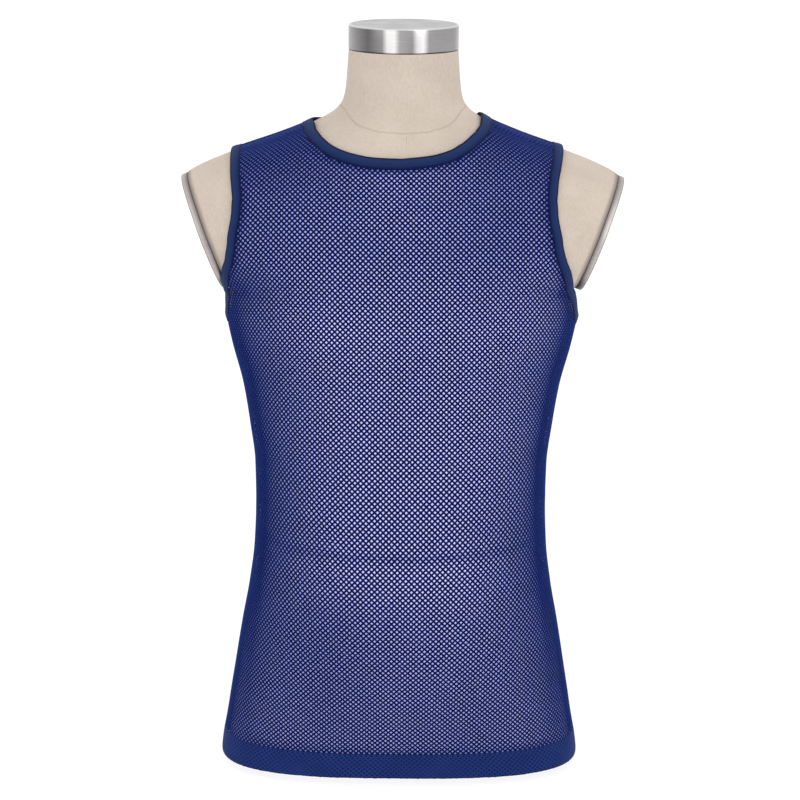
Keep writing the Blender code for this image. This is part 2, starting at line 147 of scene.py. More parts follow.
# The surface that the cloth lies on, read from those tables.
def readRow(rows, key, value, at):  # a smooth line through a table's column, with no overshoot
    last = len(rows) - 1
    at = min(max(at, rows[0][key]), rows[last][key])
    low = 0
    while low < last - 1 and rows[low + 1][key] < at:
        low += 1

    def rise(i):
        return (rows[i + 1][value] - rows[i][value]) / (rows[i + 1][key] - rows[i][key])

    def slope(i):
        if i == 0 or i == last:
            return rise(min(i, last - 1))
        before, after = rise(i - 1), rise(i)
        return 0.0 if before * after <= 0.0 else 2.0 * before * after / (before + after)

    step = rows[low + 1][key] - rows[low][key]
    t = (at - rows[low][key]) / step
    start, end = rows[low][value], rows[low + 1][value]
    bendIn, bendOut = slope(low) * step, slope(low + 1) * step
    return (
        start * (1.0 + 2.0 * t) * (1.0 - t) ** 2
        + bendIn * t * (1.0 - t) ** 2
        + end * t * t * (3.0 - 2.0 * t)
        + bendOut * t * t * (t - 1.0)
    )


lineStep = 0.5
lineHeights = np.arange(0.0, neckTop + lineStep, lineStep)


def heightLine(rows, value):  # a table's column at every step of height
    return np.array([readRow(rows, "height", value, height) for height in lineHeights])


formLines = {name: heightLine(formSections, name) for name in ("half", "front", "back", "round")}
tuckLine = heightLine(underarmTuck, "tuck")
insetLine = heightLine(footInset, "inset")
clearLine = heightLine(clothClearance, "clear")


def onLine(line, height):
    return np.interp(height, lineHeights, line)


def skinPoints(angle, height):
    angle, height = np.broadcast_arrays(np.asarray(angle, float), np.asarray(height, float))
    turn = np.radians(angle)
    power = 2.0 / onLine(formLines["round"], height)
    ahead = np.cos(turn) >= 0.0
    depth = np.where(ahead, onLine(formLines["front"], height), onLine(formLines["back"], height))
    x = np.sign(np.sin(turn)) * onLine(formLines["half"], height) * np.abs(np.sin(turn)) ** power
    y = np.where(ahead, -1.0, 1.0) * depth * np.abs(np.cos(turn)) ** power
    return np.stack([x, y, height], axis=-1)


def skinNormals(angle, height):
    nudge = 0.5  # degrees, and mm
    around = skinPoints(angle + nudge, height) - skinPoints(angle - nudge, height)
    above, below = np.minimum(height + nudge, neckTop), np.maximum(height - nudge, 0.0)
    out = np.cross(around, skinPoints(angle, above) - skinPoints(angle, below))
    return out / np.linalg.norm(out, axis=-1, keepdims=True)


def clothPoints(angle, height):  # the inside of the cloth
    out = np.asarray(onLine(clearLine, height))[..., None]
    return skinPoints(angle, height) + skinNormals(angle, height) * out


def formPoints(angle, height):  # the form leaves the cloth under the arms and at its foot
    points = skinPoints(angle, height)
    half = onLine(formLines["half"], height)
    inset = onLine(insetLine, height)
    spread = np.abs(np.sin(np.radians(angle))) ** tuckSpread
    points[..., 0] *= (1.0 - onLine(tuckLine, height) / half * spread) * (1.0 - inset / half)
    points[..., 1] *= 1.0 - inset / np.abs(skinPoints(0.0 * height, height)[..., 1])
    return points


def angleOfReach(height, reach):
    power = 2.0 / readRow(formSections, "height", "round", height)
    half = readRow(formSections, "height", "half", height)
    return degrees(asin(min(reach / half, 1.0) ** (1.0 / power)))


def shoulderHeight(reach):
    low, high = shoulderFoot, neckTop
    for _ in range(40):
        middle = 0.5 * (low + high)
        if readRow(formSections, "height", "half", middle) > reach:
            low = middle
        else:
            high = middle
    return 0.5 * (low + high)


# Seam lines are places: (angle from centre front or back, height).
def necklinePlaces(side, hand, count=120):
    places = []
    for n in range(count + 1):
        angle = 90.0 * n / count
        up = readRow(neckSlip[side], "angle", hand, angle)
        places.append((angle, readRow(necklines[side], "angle", "height", angle) + up))
    return places


def armholePlaces(side, hand, count=240):  # from under the arm to the tip of the shoulder
    rows = armholes[side]
    foot, turn = rows[0]["height"], rows[-1]["height"]
    last = armholeSlip[-1]
    tip = shoulderHeight(shoulderTipReach - handSign[hand] * last["out"] - last["narrow"])
    turnReach = abs(float(skinPoints(rows[-1]["angle"], turn)[0]))
    places = []
    for n in range(count):
        height = foot + (tip - foot) * (0.5 - 0.5 * cos(pi * n / count))
        if height <= turn:
            reach = abs(float(skinPoints(readRow(rows, "height", "angle", height), height)[0]))
        else:
            past = (height - turn) / (tip - turn)
            reach = turnReach + (shoulderTipReach - turnReach) * past
        reach -= handSign[hand] * readRow(armholeSlip, "height", "out", height)
        reach -= readRow(armholeSlip, "height", "narrow", height)
        places.append((angleOfReach(height, reach), height))
    return places + [(90.0, tip)]


def between(start, end, count):
    return [tuple(a + (b - a) * n / count for a, b in zip(start, end)) for n in range(count + 1)]


def lengthAlong(points):  # from the first point to each
    steps = np.linalg.norm(np.diff(points, axis=0), axis=1)
    return np.concatenate([[0.0], np.cumsum(steps)])


def evenPlaces(places, step, closed=False):  # respaced to even lengths of about step mm
    if closed:
        places = places + places[:1]
    angles, heights = np.array(places).T
    if closed:
        angles[-1] += 360.0 * round((angles[-2] - angles[-1]) / 360.0)
    along = lengthAlong(clothPoints(angles, heights))
    count = max(2, round(along[-1] / step))
    at = np.linspace(0.0, along[-1], count + 1)
    if closed:
        at = at[:-1]
    return np.interp(at, along, angles), np.interp(at, along, heights), along[-1]


print("surface and seam lines ready")


# The fabric: a place on it is across and up in mesh cells, from the centre line and the hem.
weave = dict(
    pitches=table(
        "height across up",
        (0, 5.3, 4.35), (60, 5.3, 4.5), (150, 5.45, 5.1), (264, 5.6, 5.7), (400, 5.45, 5.45),
        (520, 5.35, 5.3), (660, 5.3, 5.2),
    ),
    cellAcross=5.45,
    cellUp=5.2,
    cells=216,  # each way on the grid that is trimmed to the panel
    middleRow=64.0,  # cells from the hem up to the grid's middle
    strand=0.93,
    strandRise=0.75,
    unevenness=0.06,
    lift=0.3,
    underBinding=2.6,  # mm that the net runs on
    underHem=2.0,
    top=672.0,  # mm, past the highest seam
    turns=150.0,  # degrees from the centre line, past the side seams
    columns=600,
    widest=60.0,  # cells
    longest=140.0,
)
cellShare = 0.5  # of a cell, between the steps across and up
pitchLines = {name: heightLine(weave["pitches"], name) for name in ("across", "up")}
sheetRows = np.arange(hem["height"], weave["top"], 1.0)
acrossSteps = np.arange(0.0, weave["widest"] + 0.1, cellShare)
upSteps = np.arange(0.0, weave["longest"] + 0.1, cellShare)


def fabricTable(side):  # x, y, z, normal, turn and height of the cloth for each step across and up
    turns = weave["turns"] * (0.5 - 0.5 * np.cos(np.linspace(0.0, pi, weave["columns"])))
    turns, heights = np.meshgrid(turns, sheetRows)
    angles = turns if side == "front" else 180.0 - turns
    facts = [clothPoints(angles, heights), skinNormals(angles, heights)]
    facts = np.concatenate([*facts, turns[..., None], heights[..., None]], axis=-1)
    places = np.empty((len(acrossSteps), len(upSteps), facts.shape[-1]))
    steps = np.linalg.norm(np.diff(facts[..., :2], axis=1), axis=-1)
    arcs = np.concatenate([np.zeros((len(sheetRows), 1)), np.cumsum(steps, axis=1)], axis=1)
    pitchAcross = onLine(pitchLines["across"], sheetRows)
    pitchUp = onLine(pitchLines["up"], sheetRows)
    column = np.empty((len(sheetRows), facts.shape[-1]))
    for n, across in enumerate(acrossSteps):
        for row in range(len(sheetRows)):
            arc = across * pitchAcross[row]
            i = min(max(int(np.searchsorted(arcs[row], arc)) - 1, 0), arcs.shape[1] - 2)
            part = min((arc - arcs[row, i]) / (arcs[row, i + 1] - arcs[row, i]), 1.0)
            column[row] = facts[row, i] * (1.0 - part) + facts[row, i + 1] * part
        length = np.linalg.norm(np.diff(column[:, :3], axis=0), axis=1)
        ups = np.concatenate([[0.0], np.cumsum(length / pitchUp[1:])])
        for k in range(facts.shape[-1]):
            places[n, :, k] = np.interp(upSteps, ups, column[:, k])
    return places


def fabricPoints(fabric, flat):  # the same facts for points of the flat net
    across, up = flat[:, 0] / weave["cellAcross"], flat[:, 1] / weave["cellUp"]
    side = np.where(across < 0.0, -1.0, 1.0)
    a = np.clip(np.abs(across) / cellShare, 0.0, len(acrossSteps) - 1.001)
    b = np.clip(up / cellShare, 0.0, len(upSteps) - 1.001)
    i, j = a.astype(int), b.astype(int)
    s, t = (a - i)[:, None], (b - j)[:, None]
    facts = (
        fabric[i, j] * (1 - s) * (1 - t) + fabric[i + 1, j] * s * (1 - t)
        + fabric[i, j + 1] * (1 - s) * t + fabric[i + 1, j + 1] * s * t
    )
    facts[:, 0] *= side
    facts[:, 3] *= side
    return facts


# Soft folds. x, z: the middle seen from that side. lean: degrees from level. lift: mm out, or in
# if negative.
creases = table(
    "on x z length width lean lift",
    ("front", -118, 448, 52, 7, -38, 0.9),
    ("front", -104, 470, 44, 6, -47, -0.7),
    ("front", 121, 452, 58, 8, 41, 0.8),
    ("front", 99, 482, 36, 6, 52, -0.6),
    ("front", -86, 268, 48, 8, 9, 0.8),
    ("front", -98, 247, 40, 7, 4, -0.7),
    ("front", 94, 281, 42, 8, -12, 0.7),
    ("front", 88, 256, 50, 9, -5, -0.8),
    ("front", -58, 78, 64, 13, 83, 1.1),
    ("front", 34, 70, 52, 12, 95, 0.8),
    ("front", 109, 82, 70, 12, 98, 1),
    ("back", -70, 292, 58, 9, 7, 0.9),
    ("back", 52, 270, 66, 10, -6, 0.9),
    ("back", -12, 246, 60, 9, 2, -0.8),
    ("back", -106, 452, 50, 8, -40, 0.8),
    ("back", 110, 446, 46, 7, 44, 0.8),
    ("back", -66, 84, 68, 13, 86, 1.1),
    ("back", 74, 76, 60, 12, 94, 1),
)


def creaseLift(points):
    lift = np.zeros(len(points))
    for crease in creases:
        near = (points[:, 1] < 0.0) == (crease["on"] == "front")
        dx, dz = points[:, 0] - crease["x"], points[:, 2] - crease["z"]
        lean = radians(crease["lean"])
        along = dx * cos(lean) + dz * sin(lean)
        beside = dz * cos(lean) - dx * sin(lean)
        shape = np.exp(-(along / crease["length"]) ** 2 - (beside / crease["width"]) ** 2)
        lift += near * crease["lift"] * shape
    return lift


def linkObject(name, data):
    thing = bpy.data.objects.new(name, data)
    bpy.context.scene.collection.objects.link(thing)
    return thing


def addObject(name, mesh, material):
    mesh.materials.clear()
    mesh.materials.append(material)
    thing = linkObject(name, mesh)
    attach(thing, "root")
    return thing


def meshPoints(mesh):
    flat = np.empty(len(mesh.vertices) * 3, np.float32)
    mesh.vertices.foreach_get("co", flat)
    return flat.reshape(-1, 3).astype(float)


def setPoints(mesh, points):
    mesh.vertices.foreach_set("co", (points * mm).astype(np.float32).ravel())
    mesh.update()


def setUv(mesh, uv):  # uv holds one pair for each vertex
    corner = np.empty(len(mesh.loops), np.int32)
    mesh.loops.foreach_get("vertex_index", corner)
    layer = mesh.uv_layers.new(name=clothMap)
    layer.data.foreach_set("uv", uv[corner].astype(np.float32).ravel())


def setFact(mesh, label, values):  # a number for each vertex, which a material can read
    fact = mesh.attributes.new(label, "FLOAT", "POINT")
    fact.data.foreach_set("value", np.asarray(values, np.float32))


def meshFrom(form, name):
    mesh = bpy.data.meshes.new(name)
    form.to_mesh(mesh)
    form.free()
    return mesh


def changeMesh(mesh, change):
    form = bmesh.new()
    form.from_mesh(mesh)
    change(form)
    form.to_mesh(mesh)
    form.free()


def closeEnds(form):
    bmesh.ops.holes_fill(form, edges=[edge for edge in form.edges if edge.is_boundary])
    bmesh.ops.recalc_face_normals(form, faces=form.faces)


def shadeMesh(mesh, sharp):  # smooth but for edges sharper than that many degrees
    mesh.shade_smooth()
    mesh.set_sharp_from_angle(angle=radians(sharp))


def gridMesh(name, columns, rows, place, uvOf, facts, ring=False):
    # a grid moved to place(column, row), mm, then closed along the edges that meet
    form = bmesh.new()
    bmesh.ops.create_grid(form, x_segments=columns, y_segments=rows, size=0.5)
    mesh = meshFrom(form, name)
    column, row = np.rint((meshPoints(mesh)[:, :2] + 0.5) * (columns, rows)).astype(int).T
    setUv(mesh, uvOf(column, row))
    for label, fact in facts.items():
        setFact(mesh, label, fact(column, row))
    setPoints(mesh, place(column, row))

    def close(form):
        bmesh.ops.remove_doubles(form, verts=form.verts, dist=mergeGap)
        if ring:
            bmesh.ops.recalc_face_normals(form, faces=form.faces)

    changeMesh(mesh, close)
    mesh.shade_smooth()
    return mesh


def shaderGroup(name, outputs, **values):  # it takes a vector and those values
    group = bpy.data.node_groups.new(name, "ShaderNodeTree")
    group.interface.new_socket(name="Vector", in_out="INPUT", socket_type="NodeSocketVector")
    for label, value in values.items():
        socket = group.interface.new_socket(name=label, in_out="INPUT", socket_type="NodeSocketFloat")
        socket.default_value = value
    for label in outputs:
        group.interface.new_socket(name=label, in_out="OUTPUT", socket_type="NodeSocketFloat")
    return group, group.nodes.new("NodeGroupInput"), group.nodes.new("NodeGroupOutput")


def feed(tree, socket, value):  # a number, a colour or another node's output
    if isinstance(value, (int, float)):
        socket.default_value = value
    elif isinstance(value, tuple):
        socket.default_value = (*value, 1.0)
    else:
        tree.links.new(value, socket)


def useGroup(tree, group, **values):
    node = tree.nodes.new("ShaderNodeGroup")
    node.node_tree = group
    for label, value in values.items():
        feed(tree, node.inputs[label], value)
    return node.outputs


def mathNode(tree, operation, *values):
    node = tree.nodes.new("ShaderNodeMath")
    node.operation = operation
    for socket, value in zip(node.inputs, values):
        feed(tree, socket, value)
    return node.outputs[0]


def plus(tree, first, second):
    return mathNode(tree, "ADD", first, second)


def minus(tree, first, second):
    return mathNode(tree, "SUBTRACT", first, second)


def times(tree, first, second):
    return mathNode(tree, "MULTIPLY", first, second)


def mixColour(tree, factor, first, second, blend="MIX"):
    node = tree.nodes.new("ShaderNodeMix")
    node.data_type = "RGBA"
    node.blend_type = blend
    for socket, value in ((0, factor), (6, first), (7, second)):
        feed(tree, node.inputs[socket], value)
    return node.outputs[2]


def tinted(tree, colour, tint):
    return mixColour(tree, 1.0, colour, tint, "MULTIPLY")


def rampNode(tree, factor, start, stop, low=0.0, high=1.0):
    node = tree.nodes.new("ShaderNodeMapRange")
    node.clamp = True
    for label, value in zip(node.inputs.keys()[:5], (factor, start, stop, low, high)):
        feed(tree, node.inputs[label], value)
    return node.outputs[0]


def noiseNode(tree, vector, scale, detail, stretch=None):
    if stretch:
        mapping = tree.nodes.new("ShaderNodeMapping")
        mapping.inputs["Scale"].default_value = stretch
        tree.links.new(vector, mapping.inputs["Vector"])
        vector = mapping.outputs[0]
    node = tree.nodes.new("ShaderNodeTexNoise")
    node.inputs["Scale"].default_value = scale
    node.inputs["Detail"].default_value = detail
    tree.links.new(vector, node.inputs["Vector"])
    return node.outputs["Fac"]


def bumpNode(tree, height, strength, distance):
    node = tree.nodes.new("ShaderNodeBump")
    node.inputs["Strength"].default_value = strength
    node.inputs["Distance"].default_value = distance
    tree.links.new(height, node.inputs["Height"])
    return node.outputs[0]


def splitNode(tree, vector):
    node = tree.nodes.new("ShaderNodeSeparateXYZ")
    tree.links.new(vector, node.inputs[0])
    return node.outputs


def uvVector(tree):
    node = tree.nodes.new("ShaderNodeUVMap")
    node.uv_map = clothMap
    return node.outputs[0]


def objectVector(tree):
    return tree.nodes.new("ShaderNodeTexCoord").outputs["Object"]


def factOf(tree, name):
    node = tree.nodes.new("ShaderNodeAttribute")
    node.attribute_name = name
    return node.outputs["Fac"]


def slantRamp(tree, start, stop):  # by how far the surface turns from the eye
    return rampNode(tree, tree.nodes.new("ShaderNodeLayerWeight").outputs["Facing"], start, stop)


finishSockets = dict(
    colour="Base Color", roughness="Roughness", metallic="Metallic", specular="Specular IOR Level",
    sheen="Sheen Weight", sheenTint="Sheen Tint", glowColour="Emission Color",
    glow="Emission Strength",
)


def newMaterial(name, finish):
    material = bpy.data.materials.new(name)
    material.use_nodes = True
    tree = material.node_tree
    shader = tree.nodes["Principled BSDF"]
    for key, label in finishSockets.items():
        if key in finish:
            feed(tree, shader.inputs[label], finish[key])
    return material, tree, shader.inputs


# yarn: small shade changes and fibre bump, on a vector in mm
def yarnGroup():
    group, start, end = shaderGroup("yarnMottle", ["Shade", "Height"], Fibre=1.0)
    vector = start.outputs["Vector"]
    patches = noiseNode(group, vector, 0.035, 3.0)
    yarns = noiseNode(group, vector, 0.9, 2.0)
    fibres = noiseNode(group, vector, 4.0, 2.0, (1.0, 0.35, 1.0))
    shade = plus(group, times(group, patches, 0.45), times(group, yarns, 0.55))
    group.links.new(shade, end.inputs["Shade"])
    group.links.new(times(group, fibres, start.outputs["Fibre"]), end.inputs["Height"])
    return group


# netting's staggered holes as 0 to 1, on a vector in mm
def nettingGroup():
    group, start, end = shaderGroup("nettingHoles", ["Hole"], Across=5.45, Up=4.4, Slip=0.0)
    waves = []
    for way, label in zip(splitNode(group, start.outputs["Vector"]), ("Across", "Up")):
        turns = mathNode(group, "DIVIDE", way, start.outputs[label])
        turns = plus(group, turns, start.outputs["Slip"])
        waves.append(mathNode(group, "COSINE", times(group, turns, 2.0 * pi)))
    both = times(group, plus(group, *waves), 0.5)
    group.links.new(mathNode(group, "ABSOLUTE", both), end.inputs["Hole"])
    return group


# brushing: fine streaks along one direction, on a vector in metres
def brushedGroup():
    group, start, end = shaderGroup("brushedStreaks", ["Streak", "Smear"])
    streaks = noiseNode(group, start.outputs[0], 60.0, 3.0, (1.0, 1.0, 60.0))
    group.links.new(streaks, end.inputs["Streak"])
    group.links.new(noiseNode(group, start.outputs[0], 25.0, 2.0), end.inputs["Smear"])
    return group


yarn = yarnGroup()
netting = nettingGroup()
brushed = brushedGroup()

meshFinish = dict(
    deep=(0.0004, 0.001, 0.028),
    bright=(0.003, 0.008, 0.1),
    # a lighter colour painted over the shoulders for the light from above
    paintedShoulderLight=(0.032, 0.04, 0.175),
    roughness=0.8,
    sheen=0.34,
    sheenTint=(0.11, 0.24, 0.76),
    specular=0.02,
)


def makeMeshMaterial():
    material, tree, shader = newMaterial("navyMesh", meshFinish)
    mottle = useGroup(tree, yarn, Vector=uvVector(tree), Fibre=1.0)
    shade = rampNode(tree, mottle["Shade"], 0.3, 0.7, 0.25, 1.0)
    colour = mixColour(tree, shade, meshFinish["deep"], meshFinish["bright"])
    # Over the shoulders, where its yarns close up at a slant, a lighter colour is painted in for the
    # light from above.
    shoulderLightMask = rampNode(tree, factOf(tree, "facesUp"), 0.8, 0.92)
    shoulderLightMask = times(tree, shoulderLightMask, slantRamp(tree, 0.45, 0.8))
    colour = mixColour(tree, shoulderLightMask, colour, meshFinish["paintedShoulderLight"])
    tree.links.new(colour, shader["Base Color"])
    tree.links.new(bumpNode(tree, mottle["Height"], 0.5, 0.0002), shader["Normal"])
    return material


hemFinish = dict(
    deep=(0.002, 0.0065, 0.05),
    bright=(0.0165, 0.036, 0.168),
    # the dark painted shade along the hem's folded lower edge, also the dark line of the shoulder
    # seams
    foldShadeAndSeamDark=(0.0015, 0.003, 0.02),
    roughness=0.8,
    sheen=0.08,
    sheenTint=(0.2, 0.35, 0.9),
    specular=0.04,
)


def makeHemMaterial():  # two layers of the net, one turned up inside the other
    material, tree, shader = newMaterial("navyMeshDouble", hemFinish)
    vector = uvVector(tree)
    outer = useGroup(tree, netting, Vector=vector, Across=5.3, Up=4.4, Slip=0.0)[0]
    inner = useGroup(tree, netting, Vector=vector, Across=5.5, Up=4.7, Slip=0.3)[0]
    outerHole = rampNode(tree, outer, 0.45, 0.8)
    innerHole = rampNode(tree, inner, 0.5, 0.9)
    through = times(tree, outerHole, minus(tree, 1.0, times(tree, innerHole, 0.7)))
    mottle = useGroup(tree, yarn, Vector=vector, Fibre=1.0)
    shade = rampNode(tree, mottle["Shade"], 0.3, 0.7, 0.45, 1.0)
    dim = times(tree, shade, minus(tree, 1.0, times(tree, through, 0.9)))
    colour = mixColour(tree, dim, hemFinish["deep"], hemFinish["bright"])
    # painted shade along the folded lower edge; the shoulder seams take this dark colour too
    colour = mixColour(tree, factOf(tree, "foldShadeAndSeamDark"), colour, hemFinish["foldShadeAndSeamDark"])
    tree.links.new(colour, shader["Base Color"])
    height = minus(tree, times(tree, mottle["Height"], 0.3), outerHole)
    tree.links.new(bumpNode(tree, height, 0.6, 0.0005), shader["Normal"])
    return material


jerseyFinish = dict(
    deep=(0.0088, 0.0215, 0.092),
    bright=(0.0155, 0.031, 0.107),
    seam=(0.002, 0.006, 0.04),
    # edge: painted shade where the band turns under
    edge=(0.005, 0.004, 0.014),
    roughness=0.75,
    sheen=0.08,
    sheenTint=(0.4, 0.5, 0.9),
    specular=0.06,
    wale=0.9,
)


# The band is painted lighter towards its open edge, a painted highlight on the rolled fold, and
# darker at that edge and inside the fold, painted shade where it turns under.
def makeJerseyMaterial():  # fine wales across the band, dark in the seam and along the open edge
    material, tree, shader = newMaterial("navyJersey", jerseyFinish)
    vector = uvVector(tree)
    along = splitNode(tree, vector)[0]
    wales = mathNode(tree, "SINE", times(tree, along, 2.0 * pi / jerseyFinish["wale"]))
    mottle = useGroup(tree, yarn, Vector=vector, Fibre=0.8)
    shade = rampNode(tree, mottle["Shade"], 0.3, 0.7, 0.2, 0.8)
    shade = plus(tree, shade, times(tree, wales, 0.06))
    place = factOf(tree, "acrossBand")
    light = rampNode(tree, place, 0.3, 0.75)
    colour = mixColour(tree, light, jerseyFinish["deep"], jerseyFinish["bright"])
    colour = tinted(tree, colour, rampNode(tree, shade, 0.0, 1.0, 0.7, 1.3))
    # darker at the seam, and painted shade at the open edge and inside the fold
    for key, stops in (("seam", (0.1, 0.26, 0.9, 0.0)), ("edge", (0.78, 0.93))):
        colour = mixColour(tree, rampNode(tree, place, *stops), colour, jerseyFinish[key])
    tree.links.new(colour, shader["Base Color"])
    height = plus(tree, times(tree, wales, 0.5), mottle["Height"])
    tree.links.new(bumpNode(tree, height, 0.35, 0.0002), shader["Normal"])
    return material


linenFinish = dict(
    roughness=0.85,
    sheen=0.1,
    sheenTint=(1.0, 0.95, 0.9),
    specular=0.2,
    light=(0.61, 0.525, 0.447),
    dark=(0.52, 0.44, 0.37),
    thread=0.62,
    seam=(0.34, 0.275, 0.22),
    seamWidth=1.05,
    seams=dict(neckSeam=0.4, waistSeam=0.6, centreSeam=0.6),
    # painted shade on the linen beside the arm plates, and how far it reaches
    edge=(0.1, 0.08, 0.07),
    plateShadeWidth=5.4,
    # painted shade where the form is tucked in under the arms
    tucked=(0.035, 0.04, 0.1),
    tuckedShare=0.85,
    # under the net: paler, bluer and glowing, painted light for the light that comes through the net
    paintedNetLight=(0.72, 0.7, 0.94),
    glow=0.75,
    glowTint=(0.69, 0.665, 0.93),
    shut=0.7,
    shutPower=0.8,
    shutTint=(0.01, 0.03, 0.17),
    shutGlow=(0.004, 0.013, 0.075),
    fade=(1.0, 0.94, 0.78),
)


def makeLinenMaterial():
    material, tree, shader = newMaterial("linenCover", linenFinish)
    vector = objectVector(tree)
    turns = 2.0 * pi / linenFinish["thread"]
    ways = splitNode(tree, uvVector(tree))[:2]
    warp, weft = [mathNode(tree, "SINE", times(tree, way, turns)) for way in ways]
    slubs = noiseNode(tree, vector, 900.0, 2.0, (1.0, 1.0, 0.25))
    patches = noiseNode(tree, vector, 28.0, 3.0)
    tone = plus(tree, times(tree, slubs, 0.55), times(tree, patches, 0.45))
    tone = rampNode(tree, tone, 0.35, 0.62)
    colour = mixColour(tree, tone, linenFinish["dark"], linenFinish["light"])
    lines = []
    for label, depth in linenFinish["seams"].items():
        gap = mathNode(tree, "ABSOLUTE", factOf(tree, label))
        lines.append(rampNode(tree, gap, 0.2, linenFinish["seamWidth"], depth, 0.0))
    seams = mathNode(tree, "MAXIMUM", mathNode(tree, "MAXIMUM", *lines[:2]), lines[2])
    colour = mixColour(tree, seams, colour, linenFinish["seam"])
    # Painted shade on the linen beside the arm plates.
    turned = rampNode(tree, factOf(tree, "plateGap"), 0.4, linenFinish["plateShadeWidth"], 0.75, 0.0)
    colour = mixColour(tree, turned, colour, linenFinish["edge"])
    # painted shade where the form is tucked in below the plates
    tucked = times(tree, factOf(tree, "armShade"), linenFinish["tuckedShare"])
    colour = mixColour(tree, tucked, colour, linenFinish["tucked"])
    # Under the net it is painted paler and bluer than the linen and made to glow, painted light for
    # the light that comes through the net; where it is seen at a slant it fades to navy, standing in
    # for the net's yarns shutting it off.
    under = rampNode(tree, factOf(tree, "underCloth"), -5.0, -3.0)
    shut = slantRamp(tree, 0.0, linenFinish["shut"])
    clear = minus(tree, 1.0, mathNode(tree, "POWER", shut, linenFinish["shutPower"]))
    clear = times(tree, clear, factOf(tree, "netOpenAndGlow"))
    clear = mathNode(tree, "MAXIMUM", clear, factOf(tree, "netLeastOpenAndGlow"))
    share = tree.nodes.new("ShaderNodeCombineColor")
    for socket, power in zip(share.inputs, linenFinish["fade"]):  # it turns bluer as it fades
        tree.links.new(mathNode(tree, "POWER", clear, power), socket)
    share = share.outputs[0]
    paintedNetLight = tinted(tree, share, linenFinish["paintedNetLight"])
    paintedNetLight = mixColour(tree, 1.0, paintedNetLight, linenFinish["shutTint"], "ADD")
    tree.links.new(mixColour(tree, under, colour, paintedNetLight), shader["Base Color"])
    # the linen under the net glows: painted light
    glow = tinted(tree, share, linenFinish["glowTint"])
    glow = mixColour(tree, 1.0, glow, linenFinish["shutGlow"], "ADD")
    tree.links.new(mixColour(tree, under, (0.0, 0.0, 0.0), glow), shader["Emission Color"])
    height = plus(tree, times(tree, times(tree, warp, weft), 0.25), slubs)
    height = minus(tree, height, times(tree, seams, 2.0))
    tree.links.new(bumpNode(tree, height, 0.4, 0.0003), shader["Normal"])
    return material


capFinish = dict(
    roughness=0.3,
    metallic=1.0,
    # face: the top's colour, rim: lighter toward its edge as a painted highlight
    face=0.42,
    rim=0.72,
    # painted reflections of soft lights and dark screens round the cap: share of a half turn from its
    # right, brightness
    paintedShadingBands=[
        (0.0, 0.5), (0.15, 0.3), (0.28, 0.15), (0.375, 0.3), (0.405, 0.88), (0.447, 0.98),
        (0.477, 0.42), (0.55, 0.31), (0.58, 0.8), (0.615, 0.98), (0.65, 0.36), (0.86, 0.34),
        (1.0, 0.5),
    ],
)
plateFinish = dict(
    roughness=0.42,
    metallic=1.0,
    # painted shade and highlight across the rim, from the linen out: share of its thickness,
    # brightness
    paintedShadingBands=[
        (0.0, 0.14), (0.12, 0.27), (0.3, 0.37), (0.45, 0.46), (0.62, 0.53),
        (0.8, 0.58), (0.88, 0.46), (0.95, 0.32), (1.0, 0.3),
    ],
    warmth=(1.0, 0.94, 0.91),
)


# painted light and shade in bands across the steel
def paintSteelShading(tree, factor, paintedShadingBands):
    node = tree.nodes.new("ShaderNodeValToRGB")
    elements = node.color_ramp.elements
    while len(elements) < len(paintedShadingBands):
        elements.new(1.0)
    for element, (at, value) in zip(elements, paintedShadingBands):
        element.position = at
        element.color = (value, value * 0.97, value * 0.975, 1.0)
    tree.links.new(factor, node.inputs["Fac"])
    return node.outputs["Color"]


def finishSteel(tree, shader, colour, roughness):
    grain = useGroup(tree, brushed, Vector=objectVector(tree))
    tone = rampNode(tree, grain["Streak"], 0.3, 0.7, 0.8, 1.0)
    tree.links.new(tinted(tree, colour, tone), shader["Base Color"])
    smear = rampNode(tree, grain["Smear"], 0.3, 0.7, roughness - 0.06, roughness + 0.1)
    tree.links.new(smear, shader["Roughness"])
    tree.links.new(bumpNode(tree, grain["Streak"], 0.15, 0.0001), shader["Normal"])


def makeCapMaterial():
    material, tree, shader = newMaterial("capSteel", capFinish)
    x, y, z = splitNode(tree, objectVector(tree))
    turn = mathNode(tree, "ARCTAN2", x, times(tree, y, -1.0))
    turn = mathNode(tree, "FRACT", plus(tree, mathNode(tree, "DIVIDE", turn, pi), 0.5))
    paintedShadingBands = paintSteelShading(tree, turn, capFinish["paintedShadingBands"])
    top = (neckTop + neckCap["gap"] + neckCap["high"]) * mm
    onTop = rampNode(tree, z, top - 0.0018, top - 0.0012)
    reach = plus(tree, *[mathNode(tree, "POWER", way, 2.0) for way in (x, y)])
    radius = neckCap["radius"] * mm
    reach = mathNode(tree, "SQRT", reach)
    # the top, lighter toward its edge as a painted highlight
    looks = capFinish["face"], capFinish["rim"]
    face = rampNode(tree, reach, radius - 0.003, radius - 0.0015, *looks)
    finishSteel(tree, shader, mixColour(tree, onTop, paintedShadingBands, face), capFinish["roughness"])
    return material


def makePlateMaterial():
    material, tree, shader = newMaterial("plateSteel", plateFinish)
    paintedShadingBands = paintSteelShading(tree, factOf(tree, "outward"), plateFinish["paintedShadingBands"])
    finishSteel(tree, shader, tinted(tree, paintedShadingBands, plateFinish["warmth"]), plateFinish["roughness"])
    return material


navyMesh = makeMeshMaterial()
navyMeshDouble = makeHemMaterial()
navyJersey = makeJerseyMaterial()
linenCover = makeLinenMaterial()
capSteel = makeCapMaterial()
plateSteel = makePlateMaterial()
print("materials ready")


